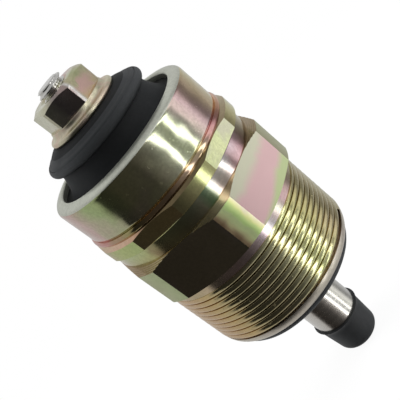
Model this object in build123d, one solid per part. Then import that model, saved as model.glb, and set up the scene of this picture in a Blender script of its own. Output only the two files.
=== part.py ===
from build123d import *
import math
import os

# Fuel shutoff solenoid, in millimetres. The axis is Z with the terminal stud up and the plunger down.
# The origin is on the axis, at the upper end of the outside thread.

# Housing, outside: from the nose up to the rolled rim
thread_d = 24.0
thread_len = 9.5
nose_len = 1.6
nose_chamfer = 0.85
nose_bulge = 0.12
relief_depth = 0.2
relief_len = 1.2
hex_across_flats = 24.0
hex_corner_d = 26.08
hex_len = 6.85
hex_end_chamfer = 0.5
hex_chamfer = 0.4
groove_d = 23.8
groove_len = 2.22
groove_corner = 0.25
collar_d = 24.9
collar_len = 1.78
collar_cone_len = 0.4
collar_top_drop = 0.13
bead_bulge = 0.12
bead_len = 0.75
can_d = 23.4
can_len = 6.0
rim_radius = 0.8
rim_fall = 0.22
lip_edge_radius = 0.3
lip_t = 0.9
lip_opening_d = 19.8

# Housing, inside
can_wall = 1.1
coil_bore_share = 0.808
nose_wall = 2.8

# Ring in the face of the nose
o_ring_cord = 1.8
o_ring_play = 0.05
o_ring_sunk = 0.65
o_ring_land = 0.12

# Stack that the rolled lip clamps, from the lip down
slip = 0.05
grommet_base_t = 1.3
cover_t = 2.8
spacer_len = 4.5
spacer_wall = 1.0
core_flange_t = 2.0

# Rubber grommet above the rim
grommet_rise = 4.45
disc_d = 16.8
disc_t = 1.55
disc_top_d = 11.2
disc_crease_d = 14.6
disc_crease_drop = 0.8
disc_lip = 0.7
neck_d = 15.3
flare_d = 18.1
flare_sag = 0.15

# Terminal
stud_d = 4.0
stud_out = 1.1
stud_tip_chamfer = 0.25
stud_head_d = 7.2
stud_head_t = 1.4
washer_d = 9.2
washer_t = 0.5
nut_across_flats = 7.8
nut_h = 4.5
nut_flange_d = 11.0
nut_flange_edge = 0.75
nut_flange_rise = 0.95
nut_top_d = 7.0
nut_turn = 12.3

# Coil
tube_bore_share = 0.392
tube_wall = 0.3
bobbin_barrel_wall = 0.85
bobbin_flange_t = 1.0
bobbin_play = 0.2
winding_cover = 0.5
tape_t = 0.15
cone_washer_height = 0.7
cone_washer_t = 0.3
cone_washer_share = 0.4
wire_d = 0.6
wire_notch = 1.6
wire_bend = 1.4

# Pole piece and seals
pole_clearance = 0.1
seal_cord = 1.1
seal_depth = 1.0
foot_ring_cord = 1.4
shim_t = 0.3

# Plunger
running = 0.05
plunger_len = 6.3
plunger_stroke = 3.0
end_gap = 0.1
shaft_d = 7.2
nose_play = 0.08
shaft_out = 11.25
spring_bore_d = 4.8
spring_bore_depth = 6.0
core_recess = 2.0
spring_wire = 0.5
spring_d = 4.2
spring_turns = 7
spigot_d = 3.6
spigot_len = 3.4
spigot_head_d = 4.8
spigot_head_t = 0.9

# Rubber tip
tip_len = 5.8
tip_lip_d = 7.95
tip_waist_d = 7.15
tip_waist_at = 1.7
tip_end_d = 6.7
tip_radius = 1.15

# Heights worked out from the sizes above
nose_z = -thread_len - nose_len
hex_z = relief_len
groove_z = hex_z + hex_len
collar_z = groove_z + groove_len
cone_z = collar_z + collar_len
bead_z = cone_z + collar_cone_len
can_z = bead_z + bead_len
rim_z = can_z + can_len
lip_z = rim_z - lip_t
cover_top_z = lip_z - grommet_base_t
cover_z = cover_top_z - cover_t
spacer_z = cover_z - spacer_len
seat_z = spacer_z - core_flange_t
floor_z = nose_z + nose_wall
bobbin_z = floor_z + foot_ring_cord + slip
bobbin_top_z = seat_z - cone_washer_height
grommet_top_z = rim_z + grommet_rise
nut_top_z = grommet_top_z + nut_h
stud_top_z = nut_top_z + stud_out
head_top_z = cover_z - washer_t
plunger_top_z = floor_z + plunger_len
pole_z = plunger_top_z + plunger_stroke + end_gap + shim_t
tip_z = nose_z - shaft_out

# Corner radius of a hexagon as a share of its width across flats, and how far a cutter reaches past a surface
hexagon_share = 1 / math.sqrt(3)
cut_past = 1.0

# Radii that several pieces share
thread_r = thread_d / 2
nose_face_r = thread_r - nose_chamfer
nose_bore_r = shaft_d / 2 + nose_play
coil_bore_r = thread_r * coil_bore_share
chamber_r = can_d / 2 - can_wall
flat_r = hex_across_flats / 2
collar_top_r = flat_r - collar_top_drop
lip_r = lip_opening_d / 2
stack_r = chamber_r - slip
tube_r = thread_r * tube_bore_share
tube_outer_r = tube_r + tube_wall
pole_r = tube_r - pole_clearance
barrel_r = tube_outer_r + slip + bobbin_barrel_wall
bobbin_r = coil_bore_r - bobbin_play
winding_r = bobbin_r - winding_cover
cone_inner_r = tube_outer_r + slip
cone_outer_r = cone_inner_r + (bobbin_r - cone_inner_r) * cone_washer_share
wire_radius = cone_outer_r + slip + wire_d / 2
stud_hole_r = stud_d / 2 + slip
plunger_r = tube_r - running
spring_r = (spring_d - spring_wire) / 2
spring_foot_z = plunger_top_z - spring_bore_depth


def at(point):
    """Put a (radius, height) pair on the XZ plane."""
    return (point[0], 0, point[1])


def turned(start, *steps):
    """Revolve a closed outline: a step of one pair is a line, a step of two is an arc through the first."""
    edges = []
    here = start
    for step in steps:
        if isinstance(step[0], tuple):
            through, end = step
            edges.append(ThreePointArc(at(here), at(through), at(end)))
        else:
            end = step
            edges.append(Line(at(here), at(end)))
        here = end
    edges.append(Line(at(here), at(start)))
    return revolve(make_face(edges), Axis.Z)


def ring(inner_r, outer_r, low, high):
    """A plain ring or washer between two heights."""
    return turned((inner_r, low), (outer_r, low), (outer_r, high), (inner_r, high))


def hexagon_bar(across_flats, low, high, turn=0):
    """A hexagon bar with one flat facing -Y before it is turned about Z."""
    outline = RegularPolygon(across_flats * hexagon_share, 6, rotation=turn)
    return Pos(0, 0, low) * extrude(outline, high - low)


def quarter(centre, radius, angle):
    """A point at an angle, in degrees, on a small circle in the (radius, height) plane."""
    turn = math.radians(angle)
    return (centre[0] + radius * math.cos(turn), centre[1] + radius * math.sin(turn))


def housing():
    """Turned and milled steel body with its can wall rolled in over the stack."""
    corner_r = hex_corner_d / 2
    can_r = can_d / 2
    nose_mid = ((thread_r + nose_face_r) / 2 + nose_bulge, nose_z + nose_len / 2 - nose_bulge)
    rim_round = (can_r - rim_radius, rim_z - rim_fall - rim_radius)
    lip_round = (lip_r + lip_edge_radius, rim_z - lip_edge_radius)
    body = turned(
        (nose_bore_r, nose_z),
        (nose_face_r, nose_z),
        (nose_mid, (thread_r, -thread_len)),
        (thread_r, 0),
        (thread_r - relief_depth, 0),
        (thread_r - relief_depth, hex_z),
        (flat_r, hex_z),
        (corner_r, hex_z + hex_end_chamfer),
        (corner_r, groove_z - hex_chamfer),
        (flat_r, groove_z),
        (groove_d / 2, groove_z),
        (groove_d / 2, collar_z - groove_corner),
        (
            quarter((groove_d / 2 + groove_corner, collar_z - groove_corner), groove_corner, 135),
            (groove_d / 2 + groove_corner, collar_z),
        ),
        (collar_d / 2, collar_z),
        (collar_d / 2, cone_z),
        (collar_top_r, bead_z),
        ((collar_top_r + bead_bulge, bead_z + bead_len / 2), (collar_top_r, can_z)),
        (can_r, can_z),
        (can_r, rim_round[1]),
        (quarter(rim_round, rim_radius, 45), (rim_round[0], rim_z - rim_fall)),
        (lip_round[0], rim_z),
        (quarter(lip_round, lip_edge_radius, 135), (lip_r, lip_round[1])),
        (lip_r, lip_z),
        (chamber_r, lip_z),
        (chamber_r, seat_z),
        (coil_bore_r, seat_z),
        (coil_bore_r, floor_z),
        (nose_bore_r, floor_z),
    )
    flats = ring(flat_r / 2, corner_r * 2, hex_z, bead_z) - hexagon_bar(hex_across_flats, hex_z, bead_z)
    groove_in, groove_out = o_ring_walls()
    seat = ring(groove_in, groove_out, nose_z, nose_z + o_ring_sunk)
    return body - flats - seat


def o_ring_walls():
    """Inner and outer radius of the groove that holds the nose ring."""
    outer = nose_face_r - o_ring_land
    return outer - o_ring_cord - 2 * o_ring_play, outer


def nose_o_ring():
    """Black ring, sunk for half its cord in the face of the nose."""
    centre_z = nose_z + o_ring_sunk - o_ring_cord / 2
    return Pos(0, 0, centre_z) * Torus(sum(o_ring_walls()) / 2, o_ring_cord / 2)


def rubber_grommet():
    """Moulded rubber: clamped base, hollow flare, neck and domed disc under the terminal nut."""
    disc_low = grommet_top_z - disc_crease_drop - disc_t
    edge = (disc_d / 2 - disc_lip, disc_low + disc_lip)
    crease = (disc_crease_d / 2, grommet_top_z - disc_crease_drop)
    flare_low = (flare_d / 2, lip_z - slip)
    neck_low = (neck_d / 2, disc_low - disc_lip / 2)
    flare_mid = (
        (flare_low[0] + neck_low[0]) / 2 - flare_sag,
        (flare_low[1] + neck_low[1]) / 2 - flare_sag,
    )
    return turned(
        (stud_hole_r, cover_top_z),
        (stack_r, cover_top_z),
        (stack_r, lip_z - slip),
        flare_low,
        (flare_mid, neck_low),
        (neck_d / 2, disc_low),
        (edge[0], disc_low),
        (quarter(edge, disc_lip, -40), (disc_d / 2, edge[1])),
        (quarter(edge, disc_lip, 60), crease),
        (disc_top_d / 2, grommet_top_z),
        (stud_hole_r, grommet_top_z),
    )


def cover_disc():
    """Moulded insulating disc that closes the housing and carries the stud."""
    return ring(stud_hole_r, stack_r, cover_z, cover_top_z)


def spacer_ring():
    """Steel ring that holds the pole piece down on its seat."""
    return ring(stack_r - spacer_wall, stack_r, spacer_z, cover_z)


def terminal_stud():
    """Threaded stud with a flat head under the cover."""
    r = stud_d / 2
    head_r = stud_head_d / 2
    return turned(
        (0, head_top_z - stud_head_t),
        (head_r, head_top_z - stud_head_t),
        (head_r, head_top_z),
        (r, head_top_z),
        (r, stud_top_z - stud_tip_chamfer),
        (r - stud_tip_chamfer, stud_top_z),
        (0, stud_top_z),
    )


def contact_washer():
    """Brass washer between the stud's head and the cover."""
    return ring(stud_hole_r, washer_d / 2, head_top_z, cover_z)


def flange_nut():
    """Hexagon nut with a turned flange and a chamfered top."""
    bottom = grommet_top_z
    edge_z = bottom + nut_flange_edge
    corner_r = nut_across_flats * hexagon_share
    flange_r = nut_flange_d / 2
    cone_z_top = edge_z + nut_flange_rise
    chamfer_drop = (corner_r - nut_top_d / 2) * math.tan(math.radians(30))
    flange = turned(
        (stud_hole_r, bottom),
        (flange_r - nut_flange_edge / 3, bottom),
        (
            (flange_r, bottom + nut_flange_edge / 2),
            (flange_r - nut_flange_edge / 3, edge_z),
        ),
        (nut_across_flats / 2, cone_z_top),
        (stud_hole_r, cone_z_top),
    )
    envelope = turned(
        (stud_hole_r, bottom + nut_flange_edge / 2),
        (corner_r, bottom + nut_flange_edge / 2),
        (corner_r, nut_top_z - chamfer_drop),
        (nut_top_d / 2, nut_top_z),
        (stud_hole_r, nut_top_z),
    )
    hexagon = hexagon_bar(nut_across_flats, bottom, nut_top_z, nut_turn)
    return flange + (envelope & hexagon)


def fixed_core():
    """Steel pole piece: flange on the housing's seat, pole in the guide tube, groove for its seal."""
    groove_r = pole_r - seal_depth
    groove_mid = (pole_z + seat_z) / 2 + seal_cord
    half = seal_cord / 2 + slip
    recess_r = spring_bore_d / 2
    core = turned(
        (0, pole_z + core_recess),
        (recess_r, pole_z + core_recess),
        (recess_r, pole_z),
        (pole_r, pole_z),
        (pole_r, groove_mid - half),
        (groove_r, groove_mid - half),
        (groove_r, groove_mid + half),
        (pole_r, groove_mid + half),
        (pole_r, seat_z),
        (stack_r, seat_z),
        (stack_r, spacer_z),
        (0, spacer_z),
    )
    notch_in = wire_radius - wire_notch / 2
    notch_len = stack_r + cut_past - notch_in
    place = Pos(notch_in + notch_len / 2, 0, (seat_z + spacer_z) / 2)
    notch = place * Box(notch_len, wire_notch, core_flange_t)
    return core - notch


def core_seal_ring():
    """Square-cut fuel seal between the pole piece and the guide tube."""
    centre_z = (pole_z + seat_z) / 2 + seal_cord
    return ring(pole_r - seal_depth + slip, tube_r - slip / 2, centre_z - seal_cord / 2, centre_z + seal_cord / 2)


def guide_tube():
    """Brass tube that guides the plunger and keeps fuel off the coil."""
    return ring(tube_r, tube_outer_r, floor_z, seat_z - slip)


def foot_ring():
    """Square-cut seal round the foot of the guide tube."""
    inner_r = tube_outer_r + slip
    return ring(inner_r, inner_r + foot_ring_cord, floor_z, floor_z + foot_ring_cord)


def coil_bobbin():
    """Moulded spool with a slot at each side of its top flange for the lead wires."""
    bore_r = tube_outer_r + slip
    low_flange = bobbin_z + bobbin_flange_t
    top_flange = bobbin_top_z - bobbin_flange_t
    spool = turned(
        (bore_r, bobbin_z),
        (bobbin_r, bobbin_z),
        (bobbin_r, low_flange),
        (barrel_r, low_flange),
        (barrel_r, top_flange),
        (bobbin_r, top_flange),
        (bobbin_r, bobbin_top_z),
        (bore_r, bobbin_top_z),
    )
    slot_in = wire_radius - wire_notch / 2
    slot_len = bobbin_r + cut_past - slot_in
    for side in (1, -1):
        place = Pos(side * (slot_in + slot_len / 2), 0, bobbin_top_z - bobbin_flange_t / 2)
        spool -= place * Box(slot_len, wire_notch, bobbin_flange_t)
    return spool


def coil_winding():
    """Enamelled copper winding, as one full ring."""
    return ring(barrel_r, winding_r, bobbin_z + bobbin_flange_t, bobbin_top_z - bobbin_flange_t)


def winding_tape():
    """Tape wrapped round the winding."""
    low = bobbin_z + bobbin_flange_t
    return ring(winding_r, winding_r + tape_t, low, bobbin_top_z - bobbin_flange_t)


def cone_washer():
    """Conical spring washer that holds the coil down between the bobbin and the pole piece."""
    return turned(
        (cone_inner_r, seat_z - cone_washer_t),
        (cone_outer_r, bobbin_top_z),
        (cone_outer_r, bobbin_top_z + cone_washer_t),
        (cone_inner_r, seat_z),
    )


def live_wire():
    """Lead from the winding, through the pole piece's notch, to the contact washer."""
    low = bobbin_top_z - bobbin_flange_t
    high = head_top_z - wire_d / 2
    end_r = stud_head_d / 2 + slip
    bend = wire_bend
    path = [
        Line((wire_radius, 0, low), (wire_radius, 0, high - bend)),
        ThreePointArc(
            (wire_radius, 0, high - bend),
            (wire_radius - bend * (1 - math.cos(math.pi / 4)), 0, high - bend * (1 - math.sin(math.pi / 4))),
            (wire_radius - bend, 0, high),
        ),
        Line((wire_radius - bend, 0, high), (end_r, 0, high)),
    ]
    section = Plane(origin=(wire_radius, 0, low), z_dir=(0, 0, 1)) * Circle(wire_d / 2)
    return sweep(section, Wire(path))


def earth_wire():
    """Short lead from the winding to the pole piece's flange."""
    low = bobbin_top_z - bobbin_flange_t
    return Pos(-wire_radius, 0, low) * extrude(Circle(wire_d / 2), seat_z - low)


def pole_shim():
    """Brass shim that stops the plunger from sticking to the pole."""
    return ring(spring_bore_d / 2, pole_r - shim_t, pole_z - shim_t, pole_z)


def return_spring():
    """Compression spring between the pole piece's recess and the plunger's bore."""
    low = spring_foot_z + spring_wire / 2
    high = pole_z + core_recess - spring_wire / 2
    path = Pos(0, 0, low) * Helix((high - low) / spring_turns, high - low, spring_r)
    section = Plane(origin=path @ 0, z_dir=path % 0) * RegularPolygon(spring_wire / 2, 6)
    return sweep(section, path, is_frenet=True)


def plunger():
    """Steel armature with its shaft out of the nose and a headed spigot for the rubber tip."""
    shaft_r = shaft_d / 2
    neck_z = tip_z - spigot_len + spigot_head_t
    return turned(
        (0, spring_foot_z),
        (spring_bore_d / 2, spring_foot_z),
        (spring_bore_d / 2, plunger_top_z),
        (plunger_r, plunger_top_z),
        (plunger_r, floor_z),
        (shaft_r, floor_z),
        (shaft_r, tip_z),
        (spigot_d / 2, tip_z),
        (spigot_d / 2, neck_z),
        (spigot_head_d / 2, neck_z),
        (spigot_head_d / 2, neck_z - spigot_head_t),
        (0, neck_z - spigot_head_t),
    )


def plunger_tip():
    """Rubber tip moulded over the spigot: a proud lip, a slight taper and a rounded end."""
    end_z = tip_z - tip_len
    neck_z = tip_z - spigot_len + spigot_head_t
    end_r = tip_end_d / 2
    corner = (end_r - tip_radius, end_z + tip_radius)
    waist = (tip_waist_d / 2, tip_z - tip_waist_at)
    lip_mid = (
        (tip_lip_d + tip_waist_d) / 4 - (tip_lip_d - tip_waist_d) / 10,
        tip_z - tip_waist_at / 2,
    )
    return turned(
        (0, end_z),
        (corner[0], end_z),
        (quarter(corner, tip_radius, -45), (end_r, corner[1])),
        waist,
        (lip_mid, (tip_lip_d / 2, tip_z)),
        (spigot_d / 2, tip_z),
        (spigot_d / 2, neck_z),
        (spigot_head_d / 2, neck_z),
        (spigot_head_d / 2, neck_z - spigot_head_t),
        (0, neck_z - spigot_head_t),
    )


nodes = {
    "housing": housing,
    "nose_o_ring": nose_o_ring,
    "rubber_grommet": rubber_grommet,
    "cover_disc": cover_disc,
    "spacer_ring": spacer_ring,
    "terminal_stud": terminal_stud,
    "contact_washer": contact_washer,
    "flange_nut": flange_nut,
    "fixed_core": fixed_core,
    "core_seal_ring": core_seal_ring,
    "guide_tube": guide_tube,
    "foot_ring": foot_ring,
    "coil_bobbin": coil_bobbin,
    "coil_winding": coil_winding,
    "winding_tape": winding_tape,
    "cone_washer": cone_washer,
    "live_wire": live_wire,
    "earth_wire": earth_wire,
    "pole_shim": pole_shim,
    "return_spring": return_spring,
    "plunger": plunger,
    "plunger_tip": plunger_tip,
}

os.makedirs("parts", exist_ok=True)
for name, build in nodes.items():
    export_step(build(), f"parts/{name}.step")
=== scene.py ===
import math
from types import SimpleNamespace
import bpy
from mathutils import Matrix, Vector


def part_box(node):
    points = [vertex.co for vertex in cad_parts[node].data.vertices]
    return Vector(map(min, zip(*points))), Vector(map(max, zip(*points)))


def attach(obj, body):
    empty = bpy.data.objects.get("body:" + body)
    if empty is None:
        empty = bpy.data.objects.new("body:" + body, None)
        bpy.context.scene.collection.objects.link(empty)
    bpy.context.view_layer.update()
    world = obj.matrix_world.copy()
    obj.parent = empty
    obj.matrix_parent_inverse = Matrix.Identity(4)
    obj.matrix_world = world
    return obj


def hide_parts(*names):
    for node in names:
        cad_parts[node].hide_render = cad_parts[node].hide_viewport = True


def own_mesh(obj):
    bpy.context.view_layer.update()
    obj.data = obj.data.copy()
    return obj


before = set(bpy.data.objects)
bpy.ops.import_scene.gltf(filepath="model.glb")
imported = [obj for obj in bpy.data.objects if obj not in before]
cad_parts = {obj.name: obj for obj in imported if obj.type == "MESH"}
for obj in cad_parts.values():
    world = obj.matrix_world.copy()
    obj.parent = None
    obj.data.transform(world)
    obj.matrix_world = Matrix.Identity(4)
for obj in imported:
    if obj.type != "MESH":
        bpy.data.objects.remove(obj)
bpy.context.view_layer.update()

bl_info = {
    "name": "Fuel shutoff solenoid",
    "version": (1, 0, 0),
    "blender": (4, 5, 0),
    "location": "3D View > Sidebar > Solenoid",
    "description": "Builds a screw-in fuel shutoff solenoid round its fixed frame",
    "category": "Object",
}

MM = 0.001
MERGE_DISTANCE = 0.0000005
TURN_STEPS = 192
BODY = "solenoid_body"
PLUNGER_BODY = "plunger_body"

# Angles round the axis in degrees: the camera, the hexagon's first flat and the nut's
CAMERA_AZIMUTH = -65.4
FLAT_TURN = 30
FLAT_FROM_CAMERA = FLAT_TURN - CAMERA_AZIMUTH - 60
NUT_FLAT_FROM_CAMERA = -12.4

# How the border between two colours wanders round the axis, as a share of a turn
PLATING_DRIFT = 0.05
METAL_DRIFT = 0.03

# Smaller forms of the housing, in millimetres
NOSE_BORE_R = 3.68
NOSE_FLOOR = -8.3
COIL_BORE_R = 9.7
COIL_TOP = 7.7
RING_SEAT_INSET = 0.12
RING_SEAT_WIDTH = 1.9
RING_SEAT_DEPTH = 0.95
NOSE_RING_R = 0.9
SHOULDER_STEPS = 5
SHOULDER_HEIGHT = 0.62
GROOVE_FILLET = 0.25
RIM_FALL = 0.22
LIP_EDGE = 0.3
LIP_DEPTH = 0.9

# Smaller forms of the rubber, the stud, the nut and the plunger, in millimetres
GROMMET_BASE_R = 10.55
GROMMET_BASE_HEIGHT = 1.25
DISC_HEIGHT = 1.55
DISC_EDGE = 0.7
DOME_HEIGHT = 0.8
STUD_HEAD_R = 3.6
STUD_HEAD_HEIGHT = 1.4
STUD_THREAD_DEPTH = 0.42
NUT_CORNER_R = 4.45
NUT_TOP_R = 3.5
NUT_FLANGE_HEIGHT = 1.43
ARMATURE_R = 4.65
SPRING_BORE_R = 2.4
SPRING_BORE_DEPTH = 6.0
SPIGOT_R = 1.8
SPIGOT_HEAD_R = 2.4
SPIGOT_NECK = 2.5
SPRING_TURNS = 7

# Half of the pump thread's profile: share of the pitch and share of the depth
HALF_THREAD = (
    (0.00, 1.00), (0.03, 0.93), (0.10, 0.36), (0.13, 0.25), (0.20, 0.165),
    (0.28, 0.09), (0.36, 0.04), (0.44, 0.01), (0.47, 0.00),
)
THREAD_CREST = (0.50, 0.07)
THREAD_PHASE = 0.43

# Crest of the stud thread: share of the pitch, and drop in millimetres
STUD_CREST = ((0.44, 0.05), (0.50, 0.0), (0.56, 0.0), (0.62, 0.05))


def span(node):
    """The lowest and the highest point of a frame node, in millimetres."""
    return [corner.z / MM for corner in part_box(node)]


HOUSING_LOW, HOUSING_HIGH = span("housing")
GROMMET_LOW, GROMMET_TOP = span("rubber_grommet")
NUT_TOP = span("flange_nut")[1]
STUD_LOW, STUD_TOP = span("terminal_stud")
TIP_LOW, TIP_HIGH = span("plunger_tip")
PLUNGER_LOW, PLUNGER_HIGH = span("plunger")


# Property makers

def number(name, description, default, **settings):
    """A number that the user can change."""
    return bpy.props.FloatProperty(name=name, description=description, default=default, **settings)


def size(name, description, millimetres):
    """A length that the user can change, shown in metric units."""
    return number(name, description, millimetres * MM, precision=5, unit="LENGTH")


def colour(name, description, *shade):
    """A colour that the user can change."""
    return bpy.props.FloatVectorProperty(
        name=name, description=description, default=shade, size=3, min=0.0, max=1.0, subtype="COLOR"
    )


class SolenoidSizes(bpy.types.PropertyGroup):
    """Sizes of the visible pieces."""

    thread_d: size("Thread diameter", "Outside diameter of the pump thread", 24.0)
    thread_root_d: size("Thread root", "Diameter at the bottom of the pump thread", 23.28)
    thread_pitch: size("Thread pitch", "Distance between two crests of the pump thread", 0.95)
    thread_len: size("Thread length", "Length of the pump thread", 9.5)
    nose_face_d: size("Nose face", "Diameter of the nose's flat face", 22.3)
    relief_d: size("Relief", "Diameter of the plain band between thread and hexagon", 23.7)
    relief_len: size("Relief length", "Height of the plain band above the thread", 1.2)
    across_flats: size("Across flats", "Width of the spanner hexagon", 24.0)
    corner_d: size("Hexagon corners", "Diameter that the hexagon's corners are turned to", 26.08)
    hex_len: size("Hexagon length", "Height of the spanner hexagon", 6.85)
    groove_d: size("Groove", "Diameter of the groove above the hexagon", 23.8)
    groove_len: size("Groove length", "Height of the groove above the hexagon", 2.22)
    collar_d: size("Collar", "Diameter of the collar above the groove", 24.9)
    collar_len: size("Collar length", "Height of the collar's straight part", 1.78)
    collar_cone: size("Collar cone", "Height of the collar's upper slope", 0.40)
    collar_top_d: size("Collar top", "Diameter at the top of the collar's slope", 23.74)
    bead_d: size("Bead", "Diameter of the thin bead under the can", 23.98)
    bead_len: size("Bead height", "Height of the thin bead under the can", 0.75)
    can_d: size("Can", "Diameter of the can", 23.4)
    rim_radius: size("Rim radius", "Rounding of the rolled rim", 0.8)
    lip_opening_d: size("Lip opening", "Diameter of the hole in the rolled lip", 19.8)
    chamber_d: size("Chamber", "Inside diameter of the can", 21.2)
    disc_d: size("Rubber disc", "Diameter of the rubber disc under the nut", 16.8)
    neck_d: size("Rubber neck", "Diameter of the neck under the rubber disc", 15.3)
    flare_d: size("Rubber flare", "Diameter of the rubber flare at the lip", 18.1)
    nut_across: size("Nut across flats", "Width of the terminal nut's hexagon", 7.9)
    nut_flange_d: size("Nut flange", "Diameter of the terminal nut's flange", 11.0)
    stud_d: size("Stud", "Outside diameter of the terminal stud's thread", 4.0)
    stud_pitch: size("Stud pitch", "Thread pitch of the terminal stud", 0.7)
    shaft_d: size("Plunger shaft", "Diameter of the plunger's shaft", 7.2)
    tip_lip_d: size("Tip lip", "Diameter of the rubber tip's lip", 7.90)
    tip_end_d: size("Tip end", "Diameter of the rubber tip near its end", 6.7)
    spring_d: size("Return spring", "Outside diameter of the return spring", 4.2)
    spring_wire: size("Spring wire", "Diameter of the return spring's wire", 0.5)


class SolenoidFinishes(bpy.types.PropertyGroup):
    """Colours of the finishes."""

    zinc_olive: colour("Zinc olive", "Main colour of the yellow zinc plating", 0.80, 0.78, 0.50)
    zinc_green: colour("Zinc green", "Pale green cast of the plating", 0.66, 0.78, 0.50)
    zinc_pink: colour("Zinc pink", "Pink cast of the plating", 0.86, 0.60, 0.60)
    flat_pink: colour("Flat pink", "Pink band on the hexagon's flats", 0.78, 0.53, 0.53)
    nut_rose: colour("Nut rose", "Rose cast on the lower half of the nut", 0.84, 0.56, 0.50)
    zinc_tan: colour("Zinc tan", "Tan cast of the plating", 0.76, 0.58, 0.40)
    zinc_gold: colour("Zinc gold", "Yellow cast of the plating", 0.90, 0.88, 0.50)
    lip_grey: colour("Lip grey", "Pale grey of the rolled lip", 0.74, 0.76, 0.66)
    steel: colour("Steel", "Bright turned steel", 0.80, 0.79, 0.76)
    inner_steel: colour("Inner steel", "Plain steel of the inner pieces", 0.52, 0.52, 0.52)
    rubber: colour("Rubber", "Black rubber", 0.022, 0.024, 0.026)
    brass: colour("Brass", "Plain brass", 0.75, 0.58, 0.28)
    copper: colour("Copper", "Enamelled copper", 0.72, 0.38, 0.22)
    moulding: colour("Moulding", "Dark moulded plastic", 0.08, 0.06, 0.05)
    tape: colour("Tape", "Woven insulating tape", 0.85, 0.80, 0.55)


class SolenoidStage(bpy.types.PropertyGroup):
    """Floor, light and camera."""

    floor_size: size("Floor size", "Width of the pale floor", 4000.0)
    lens: number("Lens", "Focal length on a 36 mm wide frame", 61.081)
    surroundings: number("Surroundings", "Brightness of what the metal reflects", 1.0)
    soft_light: number("Soft light", "Power of each soft lamp", 2.2, subtype="POWER")


def sizes():
    """The sizes in millimetres, by name."""
    group = bpy.context.scene.solenoid_sizes
    return SimpleNamespace(**{key: getattr(group, key) / MM for key in SolenoidSizes.__annotations__})


def finishes():
    """The finish colours, by name."""
    group = bpy.context.scene.solenoid_finishes
    return {key: tuple(getattr(group, key)) for key in SolenoidFinishes.__annotations__}


def heights(s):
    """The lower ends of the housing's sections above its thread, in millimetres."""
    groove = s.relief_len + s.hex_len
    collar = groove + s.groove_len
    cone = collar + s.collar_len
    bead = cone + s.collar_cone
    return SimpleNamespace(
        hexagon=s.relief_len,
        shoulder=groove - SHOULDER_HEIGHT,
        groove=groove,
        collar=collar,
        cone=cone,
        bead=bead,
        can=bead + s.bead_len,
    )


def prepare():
    """The sizes, the radii by name without _d, and the finishes, with the node groups in place."""
    s = sizes()
    r = SimpleNamespace(**{key[:-2]: value / 2 for key, value in vars(s).items() if key.endswith("_d")})
    tone = finishes()
    if not groups:
        groups["marks"] = turning_marks_group()
        groups["plating"] = plating_group(tone)
        groups["grain"] = grain_group()
    return s, r, tone


# Modelling

def deselect_all():
    """Object mode with nothing selected."""
    if bpy.context.object is not None and bpy.context.object.mode != "OBJECT":
        bpy.ops.object.mode_set(mode="OBJECT")
    bpy.ops.object.select_all(action="DESELECT")


def pick(obj):
    """Make one object the only selected and active one."""
    deselect_all()
    obj.select_set(True)
    bpy.context.view_layer.objects.active = obj


def edit(obj):
    """Enter edit mode on one object with all of it selected."""
    pick(obj)
    bpy.ops.object.mode_set(mode="EDIT")
    bpy.context.tool_settings.mesh_select_mode = (True, False, False)
    bpy.ops.mesh.select_all(action="SELECT")


def leave_edit():
    """Merge what coincides, face everything outwards and go back to object mode."""
    bpy.ops.mesh.select_all(action="SELECT")
    bpy.ops.mesh.remove_doubles(threshold=MERGE_DISTANCE)
    bpy.ops.mesh.normals_make_consistent(inside=False)
    bpy.ops.object.mode_set(mode="OBJECT")


def called(name):
    """The active object, under a new name."""
    obj = bpy.context.object
    obj.name = name
    obj.data.name = name
    return obj


def outline(name, points, closed=True):
    """A chain of edges through (radius, height) points on the XZ plane, in millimetres."""
    deselect_all()
    here = points[0]
    bpy.ops.mesh.primitive_plane_add(size=MM * 0.1, location=(here[0] * MM, 0, here[1] * MM))
    obj = called(name)
    bpy.ops.object.transform_apply(location=True, rotation=False, scale=False)
    edit(obj)
    bpy.ops.mesh.merge(type="CENTER")
    for there in [*points[1:], points[0]] if closed else points[1:]:
        move = ((there[0] - here[0]) * MM, 0, (there[1] - here[1]) * MM)
        bpy.ops.mesh.extrude_region_move(TRANSFORM_OT_translate={"value": move})
        here = there
    bpy.ops.mesh.select_all(action="SELECT")
    bpy.ops.mesh.remove_doubles(threshold=MERGE_DISTANCE)
    return obj


def turned(name, points, closed=True, steps=TURN_STEPS):
    """Spin an outline round the Z axis into a closed body with its faces outwards."""
    obj = outline(name, points, closed)
    bpy.ops.mesh.select_all(action="SELECT")
    bpy.ops.mesh.spin(steps=steps, angle=2 * math.pi, center=(0, 0, 0), axis=(0, 0, 1))
    leave_edit()
    return obj


def arc(centre, radius, start, end, count=9):
    """Points on an arc in the (radius, height) plane, from one angle to another in degrees."""
    angles = [math.radians(start + (end - start) * i / count) for i in range(count + 1)]
    return [(centre[0] + radius * math.cos(a), centre[1] + radius * math.sin(a)) for a in angles]


def curve_through(start, middle, end, count=9):
    """Points on a smooth curve from start to end that passes through middle."""
    pull = (2 * middle[0] - (start[0] + end[0]) / 2, 2 * middle[1] - (start[1] + end[1]) / 2)
    points = []
    for i in range(count + 1):
        t = i / count
        keep = (1 - t) ** 2, 2 * t * (1 - t), t * t
        points.append(tuple(keep[0] * a + keep[1] * b + keep[2] * c for a, b, c in zip(start, pull, end)))
    return points


def mill_flats(obj, across, turn):
    """Cut six flats, the first one facing the angle turn in degrees, and close each cut."""
    for i in range(6):
        angle = math.radians(turn + 60 * i)
        normal = (math.cos(angle), math.sin(angle), 0)
        edit(obj)
        bpy.ops.mesh.bisect(
            plane_co=tuple(c * across / 2 * MM for c in normal),
            plane_no=normal,
            use_fill=True,
            clear_outer=True,
            threshold=MERGE_DISTANCE,
        )
        bpy.ops.object.mode_set(mode="OBJECT")


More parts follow.
